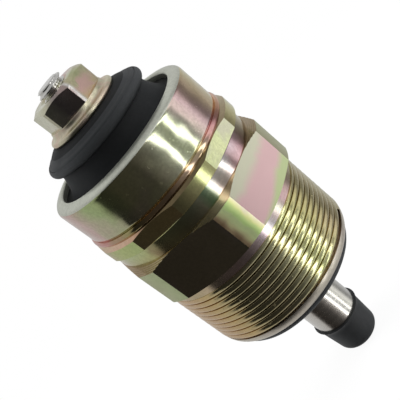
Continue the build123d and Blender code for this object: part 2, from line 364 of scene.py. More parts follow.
def wind(obj, pitch, turns, steps):
    """Screw an object's edges upwards round the Z axis."""
    screw = obj.modifiers.new("Screw", "SCREW")
    screw.axis = "Z"
    screw.angle = 2 * math.pi
    screw.screw_offset = pitch * MM
    screw.iterations = turns
    screw.steps = steps
    screw.render_steps = steps
    screw.use_merge_vertices = True
    screw.merge_threshold = MERGE_DISTANCE
    bpy.ops.object.modifier_apply(modifier=screw.name)


def screw_thread(name, profile, pitch, low, high, steps, inner_scale):
    """A closed threaded sleeve: one pitch of profile is screwed upwards and cut off square at both ends."""
    obj = outline(name, [(radius, z + low - pitch) for radius, z in profile], closed=False)
    bpy.ops.object.mode_set(mode="OBJECT")
    wind(obj, pitch, math.ceil((high - low) / pitch) + 2, steps)
    edit(obj)
    bpy.ops.mesh.remove_doubles(threshold=MERGE_DISTANCE)
    for height, upper in ((high, True), (low, False)):
        bpy.ops.mesh.select_all(action="SELECT")
        bpy.ops.mesh.bisect(
            plane_co=(0, 0, height * MM),
            plane_no=(0, 0, 1),
            clear_outer=upper,
            clear_inner=not upper,
            threshold=MERGE_DISTANCE,
        )
    bpy.ops.mesh.select_mode(type="EDGE")
    bpy.ops.mesh.select_all(action="DESELECT")
    bpy.ops.mesh.select_non_manifold(
        extend=False, use_wire=False, use_boundary=True, use_multi_face=False, use_non_contiguous=False
    )
    bpy.ops.mesh.extrude_edges_move()
    bpy.ops.transform.resize(value=(inner_scale, inner_scale, 1), center_override=(0, 0, 0))
    bpy.ops.mesh.bridge_edge_loops()
    leave_edit()
    return obj


def smooth(obj, degrees):
    """Smooth shading that keeps edges sharp where they bend by more than some degrees."""
    pick(obj)
    bpy.ops.object.shade_smooth_by_angle(angle=math.radians(degrees))


def join(name, pieces):
    """One object from several."""
    pick(pieces[0])
    for piece in pieces:
        piece.select_set(True)
    bpy.ops.object.join()
    return called(name)


def finish_piece(obj, body, nodes, materials, choose=None):
    """Give a piece its materials and its body, and hide the CAD nodes that it stands for."""
    for material in materials:
        obj.data.materials.append(material)
    if choose is not None:
        for face in obj.data.polygons:
            face.material_index = choose(face.center / MM, face.normal)
    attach(obj, body)
    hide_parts(*nodes)


# Nodes

def add(tree, kind, inputs=None, **settings):
    """Add a node, set its settings, and link or fill its inputs."""
    made = tree.nodes.new(kind)
    for key, value in settings.items():
        setattr(made, key, value)
    for key, value in (inputs or {}).items():
        if isinstance(value, bpy.types.NodeSocket):
            tree.links.new(value, made.inputs[key])
        else:
            made.inputs[key].default_value = value
    return made


def maths(tree, operation, first, second=0.0, third=0.0):
    """A Math node's output."""
    return add(tree, "ShaderNodeMath", {0: first, 1: second, 2: third}, operation=operation).outputs[0]


def sway(tree, value, cloud, reach):
    """A value moved up or down by a cloud whose middle is 0.5."""
    moved = maths(tree, "MULTIPLY", maths(tree, "SUBTRACT", cloud, 0.5), reach)
    return maths(tree, "ADD", value, moved)


def noise(tree, vector, scale, detail=2.0, **inputs):
    """A noise texture's value."""
    values = {"Vector": vector, "Scale": scale, "Detail": detail, **inputs}
    return add(tree, "ShaderNodeTexNoise", values).outputs["Fac"]


def ring_noise(tree, place, detail, roughness=0.5):
    """The value of a noise along a line."""
    values = {"W": place, "Scale": 1.0, "Detail": detail, "Roughness": roughness}
    return add(tree, "ShaderNodeTexNoise", values, noise_dimensions="1D").outputs["Fac"]


def ramp_between(tree, value, low, high, to_low=0.0, to_high=1.0, kind="SMOOTHSTEP"):
    """A step of value from low to high."""
    inputs = {"Value": value, "From Min": low, "From Max": high, "To Min": to_low, "To Max": to_high}
    return add(tree, "ShaderNodeMapRange", inputs, interpolation_type=kind).outputs["Result"]


def rgba(shade):
    """A shade with full alpha; a socket stays as it is."""
    return shade if isinstance(shade, bpy.types.NodeSocket) else (*shade[:3], 1)


def mix_colour(tree, factor, first, second, blend="MIX"):
    """A colour mix node's output."""
    inputs = {0: factor, 6: rgba(first), 7: rgba(second)}
    return add(tree, "ShaderNodeMix", inputs, data_type="RGBA", blend_type=blend).outputs[2]


def darken(tree, first, level):
    """A colour times a grey level."""
    grey = add(tree, "ShaderNodeCombineColor", {0: level, 1: level, 2: level}).outputs[0]
    return mix_colour(tree, 1.0, first, grey, "MULTIPLY")


def colour_ramp(tree, factor, stops):
    """A colour ramp through (position, colour or level) stops."""
    made = add(tree, "ShaderNodeValToRGB", {"Fac": factor})
    elements = made.color_ramp.elements
    while len(elements) > 1:
        elements.remove(elements[-1])
    for i, (place, shade) in enumerate(stops):
        element = elements[0] if i == 0 else elements.new(place)
        element.position = place
        element.color = rgba(shade if isinstance(shade, tuple) else (shade, shade, shade))
    return made.outputs["Color"]


def height_of(tree, vector):
    """The Z coordinate of a vector."""
    return add(tree, "ShaderNodeSeparateXYZ", {0: vector}).outputs["Z"]


def length(tree, vector):
    """The length of a vector."""
    return add(tree, "ShaderNodeVectorMath", {0: vector}, operation="LENGTH").outputs["Value"]


def axis_distance(tree, vector):
    """The distance from the Z axis."""
    split = add(tree, "ShaderNodeSeparateXYZ", {0: vector}).outputs
    flat = add(tree, "ShaderNodeCombineXYZ", {"X": split["X"], "Y": split["Y"], "Z": 0.0})
    return length(tree, flat.outputs[0])


def azimuth_share(tree, vector):
    """Place round the Z axis, from 0 to 1, counted from behind the side that faces the camera."""
    inputs = {"Vector": vector, "Angle": -math.radians(CAMERA_AZIMUTH)}
    seen = add(tree, "ShaderNodeVectorRotate", inputs, rotation_type="Z_AXIS").outputs[0]
    split = add(tree, "ShaderNodeSeparateXYZ", {0: seen}).outputs
    angle = maths(tree, "ARCTAN2", split["Y"], split["X"])
    return maths(tree, "MULTIPLY_ADD", angle, 1 / (2 * math.pi), 0.5)


def around(tree, vector, stops, drift=None):
    """Colours or levels round the axis, at degrees from the camera side, with a border that can wander."""
    place = azimuth_share(tree, vector)
    if drift is not None:
        place = sway(tree, place, noise(tree, vector, 150.0, Distortion=0.8), drift)
    tone = finishes()
    return colour_ramp(tree, place, [(angle / 360 + 0.5, tone.get(shade, shade)) for angle, shade in stops])


def empty_tree(owner):
    """The node tree of a material or a world, with nothing in it."""
    owner.use_nodes = True
    owner.node_tree.nodes.clear()
    return owner.node_tree


# Node groups

groups = {}


def new_group(name, inputs, outputs):
    """A shader node group of coordinates and other inputs to some outputs, and its two end nodes."""
    tree = bpy.data.node_groups.new(name, "ShaderNodeTree")
    tree.interface.new_socket("Vector", in_out="INPUT", socket_type="NodeSocketVector")
    for label, default in inputs.items():
        kind = "NodeSocketColor" if isinstance(default, tuple) else "NodeSocketFloat"
        socket = tree.interface.new_socket(label, in_out="INPUT", socket_type=kind)
        socket.default_value = default
    for label in outputs:
        kind = "NodeSocketColor" if label == "Color" else "NodeSocketFloat"
        tree.interface.new_socket(label, in_out="OUTPUT", socket_type=kind)
    return tree, tree.nodes.new("NodeGroupInput").outputs, tree.nodes.new("NodeGroupOutput").inputs


def place_group(tree, name, **values):
    """The outputs of a node group that is placed with its own values."""
    inputs = {label.replace("_", " "): value for label, value in values.items()}
    return add(tree, "ShaderNodeGroup", inputs, node_tree=groups[name]).outputs


def turning_marks_group():
    """Fine rings left by turning: they change with height and radius and hardly round the axis."""
    inputs = {"Rings per Metre": 4000.0, "Waver": 0.02}
    tree, given, made = new_group("Turning marks", inputs, ("Height", "Coarse"))
    vector = given["Vector"]
    along = maths(tree, "ADD", height_of(tree, vector), axis_distance(tree, vector))
    place = maths(tree, "MULTIPLY", along, given["Rings per Metre"])
    waver = maths(tree, "MULTIPLY", noise(tree, vector, 90.0, 1.0), given["Waver"])
    place = maths(tree, "ADD", place, waver)
    tree.links.new(ring_noise(tree, place, 3.0, 0.6), made["Height"])
    tree.links.new(ring_noise(tree, maths(tree, "MULTIPLY", place, 0.18), 1.0), made["Coarse"])
    return tree


def plating_group(tone):
    """Yellow zinc plating: a gold cast, pink patches, fine specks and a tint over a base colour."""
    white = (1, 1, 1, 1)
    inputs = {"Base": white, "Tint": white, "Patch Scale": 160.0, "Gold": 0.2, "Pink": 0.3}
    tree, given, made = new_group("Yellow zinc plating", inputs, ("Color", "Cloud", "Speck"))
    vector = given["Vector"]
    cloud = noise(tree, vector, given["Patch Scale"], Distortion=0.8)
    beside = add(tree, "ShaderNodeVectorMath", {0: vector, 1: (0.31, 0.17, 0.09)}, operation="ADD")
    second = noise(tree, beside.outputs[0], maths(tree, "MULTIPLY", given["Patch Scale"], 0.7))
    golden = mix_colour(tree, given["Gold"], given["Base"], tone["zinc_gold"])
    patch = maths(tree, "MULTIPLY", ramp_between(tree, second, 0.50, 0.72), given["Pink"])
    blushed = mix_colour(tree, patch, golden, tone["zinc_pink"])
    speck = noise(tree, vector, 2600.0)
    grained = darken(tree, blushed, ramp_between(tree, speck, 0.25, 0.75, 0.86, 1.0))
    tree.links.new(mix_colour(tree, 1.0, grained, given["Tint"], "MULTIPLY"), made["Color"])
    tree.links.new(cloud, made["Cloud"])
    tree.links.new(speck, made["Speck"])
    return tree


def grain_group():
    """Cloudy tone and fine grain for rubber, plastic and plain metal."""
    inputs = {"Color": (0.5, 0.5, 0.5, 1), "Grain Scale": 3000.0, "Depth": 0.2}
    tree, given, made = new_group("Fine grain", inputs, ("Color", "Height", "Cloud"))
    grain = noise(tree, given["Vector"], given["Grain Scale"], 3.0, Roughness=0.6)
    cloud = noise(tree, given["Vector"], 220.0, 3.0)
    light = maths(tree, "SUBTRACT", maths(tree, "ADD", grain, cloud), 1.0)
    level = maths(tree, "MULTIPLY_ADD", light, given["Depth"], 1.0)
    tree.links.new(darken(tree, given["Color"], level), made["Color"])
    tree.links.new(grain, made["Height"])
    tree.links.new(cloud, made["Cloud"])
    return tree


# Materials

def start_material(name):
    """A material with an empty node tree but for its object coordinates."""
    material = bpy.data.materials.new(name)
    tree = empty_tree(material)
    return material, tree, add(tree, "ShaderNodeTexCoord").outputs["Object"]


def close_material(tree, base, roughness, height, depth, strength=1.0, **inputs):
    """A principled surface with a colour, a roughness and a relief depth metres deep."""
    relief = {"Height": height, "Distance": depth, "Strength": strength}
    normal = add(tree, "ShaderNodeBump", relief).outputs["Normal"]
    values = {"Base Color": base, "Roughness": roughness, "Normal": normal}
    surface = add(tree, "ShaderNodeBsdfPrincipled", values | inputs).outputs[0]
    add(tree, "ShaderNodeOutputMaterial", {"Surface": surface})


def zinc(
    name,
    stops,
    over=None,
    tint=(1, 1, 1),
    gold=0.0,
    pink=0.3,
    patch=160.0,
    rough=(0.08, 0.16),
    rings=5000.0,
    depth=4e-6,
    waver=0.0,
    dust=0.0,
):
    """Yellow zinc over turned steel, a little uneven, with specks of dust."""
    material, tree, vector = start_material(name)
    base = around(tree, vector, stops, PLATING_DRIFT)
    plating = place_group(
        tree, "plating", Vector=vector, Base=base, Tint=rgba(tint), Patch_Scale=patch, Gold=gold, Pink=pink
    )
    marks = place_group(tree, "marks", Vector=vector, Rings_per_Metre=rings)
    shade = plating["Color"]
    if over is not None:
        shade = over(tree, vector, shade, plating["Cloud"])
    grit = ramp_between(tree, noise(tree, vector, 1700.0), 0.66, 0.74, 0.0, dust)
    roughness = maths(tree, "ADD", ramp_between(tree, plating["Cloud"], 0.3, 0.7, *rough), grit)
    height = maths(tree, "ADD", marks["Height"], maths(tree, "MULTIPLY", plating["Speck"], 0.35))
    slow = maths(tree, "MULTIPLY", noise(tree, vector, 260.0, 1.0), waver)
    close_material(tree, shade, roughness, maths(tree, "ADD", height, slow), depth, Metallic=1.0)
    return material


def plain_metal(name, tone, rough=(0.2, 0.35), rings=4000.0, depth=4e-6, grain=0.25, stops=None, pits=0.3):
    """Bare or plated metal with turning marks, in one colour or in colours round the axis."""
    material, tree, vector = start_material(name)
    shade = rgba(tone) if stops is None else around(tree, vector, stops, METAL_DRIFT)
    base = place_group(tree, "grain", Vector=vector, Color=shade, Depth=grain)
    marks = place_group(tree, "marks", Vector=vector, Rings_per_Metre=rings)
    roughness = ramp_between(tree, marks["Coarse"], 0.3, 0.7, *rough)
    height = maths(tree, "ADD", marks["Height"], maths(tree, "MULTIPLY", base["Height"], pits))
    close_material(tree, base["Color"], roughness, height, depth, Metallic=1.0)
    return material


def soft_black(name, tone, rough=(0.5, 0.7), specular=0.35):
    """Matte rubber or moulded plastic."""
    material, tree, vector = start_material(name)
    base = place_group(tree, "grain", Vector=vector, Color=rgba(tone), Depth=0.5)
    roughness = ramp_between(tree, base["Cloud"], 0.3, 0.7, *rough)
    shine = {"Specular IOR Level": specular}
    close_material(tree, base["Color"], roughness, base["Height"], 1e-5, 0.6, **shine)
    return material


def dimmed(tone, share):
    """A share of a colour."""
    return tuple(share * part for part in tone)


# Casts over the plating, among them a painted reflection and painted shade: each takes the tree, the
# coordinates, the plated colour and its cloud

def angle_from(tree, vector, middle, reach):
    """Degrees from the nearest of the directions that lie 2 * reach apart, one of them at middle."""
    centred = maths(tree, "SUBTRACT", azimuth_share(tree, vector), 0.5)
    degrees = maths(tree, "MULTIPLY", centred, 360.0)
    return maths(tree, "WRAP", maths(tree, "SUBTRACT", degrees, middle), reach, -reach)


def stained_sides(tree, vector):
    """How far the plating is stained, by side: hardly on the side of the brown flats."""
    return around(tree, vector, ((-100, 1.0), (-60, 0.0), (-5, 0.0), (8, 1.0)))


def flat_blush(tree, vector, base, cloud):
    """A pink band that crosses each hexagon flat aslant, between pale green edges."""
    s = sizes()
    across = maths(tree, "DIVIDE", angle_from(tree, vector, FLAT_FROM_CAMERA, 30.0), 24.0)
    along = maths(tree, "SUBTRACT", height_of(tree, vector), s.relief_len * MM)
    along = sway(tree, maths(tree, "DIVIDE", along, s.hex_len * MM), cloud, 0.45)
    thread_side = maths(tree, "SUBTRACT", along, maths(tree, "MULTIPLY_ADD", across, 0.10, 0.24))
    rise = ramp_between(tree, thread_side, -0.12, 0.08)
    mask = maths(tree, "MULTIPLY", rise, ramp_between(tree, along, 0.88, 0.62))
    stain = stained_sides(tree, vector)
    edge = mix_colour(tree, ramp_between(tree, along, 0.15, 0.75), (0.58, 0.66, 0.36), (0.69, 0.68, 0.52))
    edge = mix_colour(tree, stain, base, edge)
    return mix_colour(tree, maths(tree, "MULTIPLY", mask, stain), edge, finishes()["flat_pink"])


def corner_painted_reflection(tree, vector, base, cloud):
    """Painted reflection bands along the turned corner that faces the camera: brown, yellow, green, yellow
    and cream. The others stay olive.
    """
    across = sway(tree, angle_from(tree, vector, FLAT_FROM_CAMERA - 30.0, 180.0), cloud, 5.0)
    place = ramp_between(tree, across, -12.0, 12.0, kind="LINEAR")
    banded = colour_ramp(tree, place, [((angle + 12.0) / 24.0, shade) for angle, shade in CORNER_REFLECTION_BANDS])
    near = ramp_between(tree, maths(tree, "ABSOLUTE", across), 13.0, 10.0)
    return mix_colour(tree, near, mix_colour(tree, 0.6, base, (0.60, 0.64, 0.40)), banded)


def thread_root_dirt_and_shade(tree, vector, base, cloud):
    """Brown dirt and painted shade in the groove of the thread: darker towards the root."""
    s = sizes()
    low = (s.thread_root_d / 2 + 0.10) * MM
    mask = ramp_between(tree, axis_distance(tree, vector), (s.thread_d / 2 - 0.06) * MM, low)
    return mix_colour(tree, mask, base, mix_colour(tree, 1.0, base, (0.46, 0.37, 0.26), "MULTIPLY"))


def groove_blush(tree, vector, base, cloud):
    """A rose tan cast that grows towards the shoulder."""
    h = heights(sizes())
    mask = ramp_between(tree, height_of(tree, vector), h.collar * MM, h.groove * MM)
    return mix_colour(tree, mask, base, mix_colour(tree, 1.0, base, (1.0, 0.86, 0.84), "MULTIPLY"))


def collar_flat_blush(tree, vector, base, cloud):
    """A greyish cloud in the middle of the yellow green collar flats."""
    mask = ramp_between(tree, cloud, 0.42, 0.66, 0.0, 0.7)
    mask = maths(tree, "MULTIPLY", mask, stained_sides(tree, vector))
    return mix_colour(tree, mask, base, (0.72, 0.68, 0.56))


def nut_blush(tree, vector, base, cloud):
    """Rose with tan clouds on the lower half of the nut's hexagon, olive above."""
    height = height_of(tree, vector)
    moved = sway(tree, height, cloud, 0.003)
    low = ramp_between(tree, moved, (GROMMET_TOP + 4.0) * MM, (GROMMET_TOP + 3.0) * MM)
    side = around(tree, vector, ((19, 0.0), (26, 1.0), (56, 0.9), (80, 0.2)))
    tan = ramp_between(tree, height, (GROMMET_TOP + 2.8) * MM, (GROMMET_TOP + 1.4) * MM)
    tan = maths(tree, "MULTIPLY", tan, ramp_between(tree, cloud, 0.40, 0.56))
    rose = mix_colour(tree, tan, finishes()["nut_rose"], (0.80, 0.60, 0.38))
    return mix_colour(tree, maths(tree, "MULTIPLY", low, side), base, rose)


def flange_blush(tree, vector, base, cloud):
    """Beige with rose clouds on the nut's flange."""
    return mix_colour(tree, ramp_between(tree, cloud, 0.42, 0.62, 0.0, 0.6), base, (0.86, 0.66, 0.54))


# Colours by place: degrees round the axis from the camera side, and a shade or a finish's name. Besides the
# plating's own colours, these tables hold painted reflections: light and dark bands at fixed angles from
# the camera side

OLIVE = "zinc_olive"
GREEN = "zinc_green"
PINK = "zinc_pink"
TAN = "zinc_tan"
GOLD = "zinc_gold"

# Painted reflection bands across the corner that faces the camera: degrees from its middle and a shade
CORNER_REFLECTION_BANDS = (
    (-7.2, (0.50, 0.33, 0.20)), (-5.4, (0.72, 0.55, 0.32)), (-3.6, (0.92, 0.90, 0.48)),
    (-1.8, (0.84, 0.94, 0.48)), (0.0, (0.62, 0.74, 0.36)), (1.6, (0.52, 0.70, 0.27)),
    (3.6, (0.62, 0.76, 0.31)), (5.0, (0.78, 0.80, 0.36)), (6.0, (0.84, 0.80, 0.48)),
    (7.2, (0.90, 0.82, 0.62)),
)
CAN_STOPS = (
    (-180, OLIVE), (-135, GREEN), (-100, PINK), (-80, (0.66, 0.52, 0.44)),
    (-62, (0.80, 0.58, 0.52)), (-54, (0.66, 0.60, 0.42)), (-44, (0.54, 0.66, 0.32)),
    (-36, (0.56, 0.64, 0.30)), (-24, (0.92, 0.86, 0.44)), (-6, (0.86, 0.80, 0.48)),
    (2, (0.86, 0.84, 0.56)), (12, (0.78, 0.82, 0.60)), (20, (0.74, 0.80, 0.50)),
    (27, (0.76, 0.80, 0.58)), (35, (0.84, 0.70, 0.60)), (43, (0.80, 0.58, 0.58)),
    (49, (0.66, 0.46, 0.41)), (58, (0.78, 0.60, 0.38)), (72, (0.86, 0.76, 0.46)),
    (100, GREEN), (140, PINK), (180, OLIVE),
)
BODY_STOPS = (
    (-180, OLIVE), (-120, PINK), (-90, TAN), (-66, (0.50, 0.44, 0.28)),
    (-54, (0.58, 0.68, 0.34)), (-44, (0.56, 0.70, 0.36)), (-34, (0.66, 0.64, 0.34)),
    (-14, (0.92, 0.64, 0.40)), (0, (0.84, 0.78, 0.44)), (12, (0.66, 0.76, 0.38)),
    (20, (0.72, 0.72, 0.40)), (30, (0.80, 0.82, 0.52)), (40, (0.80, 0.76, 0.50)),
    (52, (0.70, 0.60, 0.36)), (66, (0.84, 0.78, 0.50)), (90, GREEN), (140, TAN), (180, OLIVE),
)
# In the groove, the near white stops at 13 and 27 are painted highlights, and the dark stops at 4, 8, 50
# and 56 are painted dark reflections
GROOVE_STOPS = (
    (-180, OLIVE), (-120, PINK), (-90, TAN), (-66, (0.62, 0.64, 0.38)),
    (-54, (0.66, 0.74, 0.38)), (-43, (0.68, 0.74, 0.36)), (-37, (0.46, 0.40, 0.22)),
    (-24, (0.76, 0.74, 0.36)), (-12, (0.46, 0.46, 0.24)), (0, (0.50, 0.52, 0.34)),
    (4, (0.20, 0.38, 0.18)), (8, (0.28, 0.46, 0.24)), (13, (0.90, 0.90, 0.80)),
    (18, (0.60, 0.58, 0.50)), (23, (0.66, 0.64, 0.55)), (27, (0.92, 0.90, 0.86)),
    (31, (0.56, 0.42, 0.42)), (37, (0.92, 0.72, 0.76)), (43, (0.84, 0.58, 0.62)),
    (50, (0.36, 0.26, 0.20)), (56, (0.28, 0.24, 0.14)), (66, (0.54, 0.48, 0.28)),
    (90, GREEN), (140, TAN), (180, OLIVE),
)
# On the relief, the pale pink stops from 0 to 16 are a painted highlight
RELIEF_STOPS = (
    (-180, OLIVE), (-120, PINK), (-90, TAN), (-50, (0.68, 0.56, 0.34)),
    (-38, (0.86, 0.68, 0.46)), (-14, (0.96, 0.68, 0.58)), (0, (1.0, 0.78, 0.76)),
    (8, (1.0, 0.84, 0.88)), (16, (0.96, 0.90, 0.90)), (22, (0.86, 0.70, 0.66)),
    (29, (0.88, 0.86, 0.70)), (36, (0.80, 0.56, 0.56)), (46, (0.76, 0.54, 0.50)),
    (56, (0.62, 0.52, 0.34)), (90, GREEN), (140, TAN), (180, OLIVE),
)
# On the collar cone, the dark brown from -30 to 24 is a painted dark reflection
CONE_STOPS = (
    (-180, TAN), (-70, (0.78, 0.60, 0.42)), (-56, (0.94, 0.66, 0.48)), (-40, (0.88, 0.56, 0.38)),
    (-30, (0.24, 0.18, 0.10)), (24, (0.24, 0.19, 0.10)), (44, (0.50, 0.38, 0.24)),
    (70, (0.62, 0.52, 0.32)), (180, TAN),
)
SHOULDER_STOPS = (
    (-180, TAN), (-60, (0.42, 0.31, 0.18)), (-20, (0.90, 0.80, 0.52)), (4, (0.80, 0.70, 0.44)),
    (12, (0.50, 0.40, 0.24)), (40, (0.44, 0.33, 0.18)), (70, (0.44, 0.34, 0.20)), (180, TAN),
)
COLLAR_FLAT_STOPS = (
    (-180, GOLD), (-120, (0.84, 0.88, 0.50)), (-62, (0.80, 0.84, 0.46)), (-52, (0.98, 0.76, 0.34)),
    (-2, (0.98, 0.72, 0.32)), (8, (0.90, 0.95, 0.53)), (70, (0.88, 0.95, 0.51)), (180, GOLD),
)
# On the nut, the dark stops from -14 to 13 are a painted dark reflection on the flat that faces the camera,
# and the near white stop at 17 is a painted highlight on its ridge
NUT_STOPS = (
    (-180, TAN), (-100, (0.74, 0.74, 0.56)), (-60, (0.80, 0.80, 0.62)), (-40, (0.74, 0.72, 0.54)),
    (-14, (0.40, 0.34, 0.32)), (13, (0.46, 0.38, 0.34)), (17, (1.0, 0.98, 0.94)),
    (22, (0.72, 0.66, 0.44)), (48, (0.58, 0.60, 0.34)), (80, (0.64, 0.66, 0.40)),
    (130, PINK), (180, TAN),
)
THREAD_STOPS = (
    (-180, GOLD), (-130, TAN), (-90, (0.82, 0.62, 0.44)), (-62, (0.80, 0.58, 0.36)),
    (-46, (0.80, 0.60, 0.30)), (-34, (0.72, 0.62, 0.34)), (-15, (0.72, 0.62, 0.36)),
    (4, (0.82, 0.78, 0.46)), (12, (0.90, 0.92, 0.54)), (17, (0.78, 0.80, 0.38)),
    (25, (0.86, 0.88, 0.48)), (34, (0.74, 0.70, 0.34)), (46, (0.64, 0.56, 0.28)),
    (60, (0.74, 0.66, 0.40)), (75, (0.84, 0.78, 0.56)), (120, GREEN), (180, GOLD),
)
# On the plunger, the near white stops at 0 and 16 are a painted highlight and the brown stop at -30 is a
# painted dark band
PLUNGER_STOPS = (
    (-180, "steel"), (-80, (0.90, 0.88, 0.84)), (-42, (0.84, 0.80, 0.74)),
    (-30, (0.66, 0.56, 0.46)), (0, (0.98, 0.88, 0.78)), (16, (0.98, 0.96, 0.90)),
    (36, (0.84, 0.82, 0.74)), (70, (0.74, 0.73, 0.70)), (180, "steel"),
)

# Brightness of the surroundings that the metal reflects: two tall strips, a dark side and pale walls
SURROUNDINGS = (
    (-180, 0.26), (-125, 0.20), (-84, 0.18), (-79, 0.13), (-76, 0.010), (-66, 0.009), (-40, 0.012),
    (-12, 0.015), (0, 0.032), (12, 0.070), (22, 0.12), (24, 1.0), (31, 1.0), (33, 0.14), (43, 0.13),
    (52, 0.15), (54, 1.0), (59.5, 1.0), (62, 0.13), (70, 0.16), (76, 0.36), (86, 0.34), (94, 0.26),
    (101, 0.10), (112, 0.10), (127, 0.18), (180, 0.26),
)


def plain(*shade):
    """One colour all the way round."""
    return ((-180, shade), (180, shade))


# Pieces

class SOLENOID_OT_housing(bpy.types.Operator):
    """Turn the plated steel housing, roll its rim and mill its flats"""

    bl_idname = "solenoid.housing"
    bl_label = "Housing"

    def execute(self, context):
        s, r, tone = prepare()
        h = heights(s)
        obj = turned("housing_steel", self.profile(s, r, h))
        mill_flats(obj, s.across_flats, FLAT_TURN)
        smooth(obj, 12)
        plating = self.plating(tone)
        names = list(plating)
        flat = s.across_flats / 2
        bands = ((h.bead - 0.02, "bead"), (h.cone, "cone"), (h.collar, "collar"), (h.groove, "groove"))
        bands += ((h.shoulder, "shoulder"), (h.hexagon, "corners"))

        def part_of(centre, normal):
            radius = math.hypot(centre.x, centre.y)
            z = centre.z
            if z > HOUSING_HIGH - LIP_DEPTH and radius < r.can - 0.12:
                return "lip"
            if z > h.can - 0.02 and radius > r.can - 0.3:
                return "can"
            outwards = normal.dot(centre) - normal.z * z
            if abs(normal.z) < 0.05 and radius > flat - 0.1 and abs(outwards - flat) < 0.02:
                return "flats" if z < h.groove else "collar flats"
            for height, name in bands:
                if z > height:
                    return name
            return "relief" if z > -0.1 and radius > r.thread - 1 else "nose"

        def choose(centre, normal):
            return names.index(part_of(centre, normal))

        finish_piece(obj, BODY, ["housing"], plating.values(), choose)
        return {"FINISHED"}

    def profile(self, s, r, h):
        """A cut through the wall: the nose's face, up the outside, over the lip and down the inside."""
        low = HOUSING_LOW
        high = HOUSING_HIGH
        ring_out = r.nose_face - RING_SEAT_INSET
        ring_in = ring_out - RING_SEAT_WIDTH
        ring_top = low + RING_SEAT_DEPTH
        nose_top = r.thread - 0.07
        core = r.thread - 0.75
        flat = s.across_flats / 2
        points = [(NOSE_BORE_R, low), (ring_in, low), (ring_in, ring_top), (ring_out, ring_top)]
        points += [(ring_out, low), (r.nose_face, low)]
        nose_start = (r.nose_face + 0.03, low + 0.02)
        points += curve_through(nose_start, (r.thread - 0.30, low + 0.62), (nose_top, low + 1.44))
        points += [(nose_top, low + 1.54), (core, low + 1.57), (core, -0.05), (r.relief, -0.05)]
        points += [(r.relief, h.hexagon - 0.08), (r.relief - 0.03, h.hexagon), (flat, h.hexagon)]
        points += [(r.corner, h.hexagon + 0.5), (r.corner, h.shoulder)]
        for i in range(SHOULDER_STEPS):
            step = (r.corner - 0.22 * i, h.shoulder + 0.12 * i)
            points += [(step[0] - 0.03, step[1] + 0.09), (step[0] - 0.19, step[1] + 0.115)]
        fillet = (r.groove + GROOVE_FILLET, h.collar - GROOVE_FILLET)
        points += [(r.groove, h.groove - 0.01), (r.groove, fillet[1])]
        points += arc(fillet, GROOVE_FILLET, 180, 90, 5)
        points += [(r.collar - 0.05, h.collar), (r.collar, h.collar + 0.05), (r.collar, h.cone)]
        points += [(r.collar_top, h.bead)]
        bead_top = (r.collar_top - 0.02, h.can - 0.08)
        points += curve_through((r.collar_top, h.bead + 0.01), (r.bead, h.bead + 0.30), bead_top, 8)
        points += [(r.can - 0.14, h.can - 0.04), (r.can - 0.14, h.can + 0.02)]
        foot = (r.can - 0.12, h.can + 0.03)
        points += curve_through(foot, (r.can - 0.04, h.can + 0.12), (r.can, h.can + 0.34), 6)
        points += arc((r.can - s.rim_radius, high - RIM_FALL - s.rim_radius), s.rim_radius, 0, 76)
        lip = (r.lip_opening + LIP_EDGE, high - LIP_EDGE)
        points += curve_through(points[-1], (r.lip_opening + 0.78, high - 0.10), (lip[0], high), 6)[1:]
        points += arc(lip, LIP_EDGE, 90, 180, 6)[1:]
        points += [(r.lip_opening, high - LIP_DEPTH), (r.chamber, high - LIP_DEPTH), (r.chamber, COIL_TOP)]
        points += [(COIL_BORE_R, COIL_TOP), (COIL_BORE_R, NOSE_FLOOR), (NOSE_BORE_R, NOSE_FLOOR)]
        return points

    def plating(self, tone):
        """The housing's materials, by the part of it that they are for."""
        tinted = {"tint": (1.0, 1.0, 0.84), "gold": 0.2}
        clouds = {"patch": 300.0, "rough": (0.10, 0.18)}
        satin = (0.28, 0.38)
        return {
            "can": zinc("Zinc on the can", CAN_STOPS, pink=0.35, patch=240.0, waver=45.0, dust=0.15),
            "bead": zinc("Zinc on the bead", CAN_STOPS, tint=(1.0, 0.72, 0.72), pink=0.6, waver=8.0),
            "collar": zinc("Zinc on the collar", BODY_STOPS, pink=0.10, waver=5.0, **tinted),
            "groove": zinc("Zinc in the groove", GROOVE_STOPS, groove_blush, pink=0.15, waver=9.0),
            # The corner that faces the camera gets painted reflection bands over its plating
            "corners": zinc(
                "Zinc on the corners", BODY_STOPS, corner_painted_reflection, patch=420.0, rough=satin, waver=10.0
            ),
            "flats": zinc("Zinc on the flats", plain(0.62, 0.50, 0.32), flat_blush, rough=(0.12, 0.18)),
            "collar flats": zinc(
                "Zinc on the collar flats", COLLAR_FLAT_STOPS, collar_flat_blush, pink=0.12, **clouds
            ),
            "relief": zinc("Zinc on the relief", RELIEF_STOPS, rough=(0.16, 0.24), waver=5.0),
            "nose": zinc("Zinc on the nose", plain(0.80, 0.74, 0.62), pink=0.2, rough=satin),
            "lip": plain_metal("Rolled lip", tone["lip_grey"], rough=(0.34, 0.46), rings=9000.0, grain=0.5),
            "cone": zinc("Zinc on the collar cone", CONE_STOPS, pink=0.1),
            "shoulder": zinc("Zinc on the shoulder", SHOULDER_STOPS, pink=0.1, rough=(0.12, 0.20)),
        }


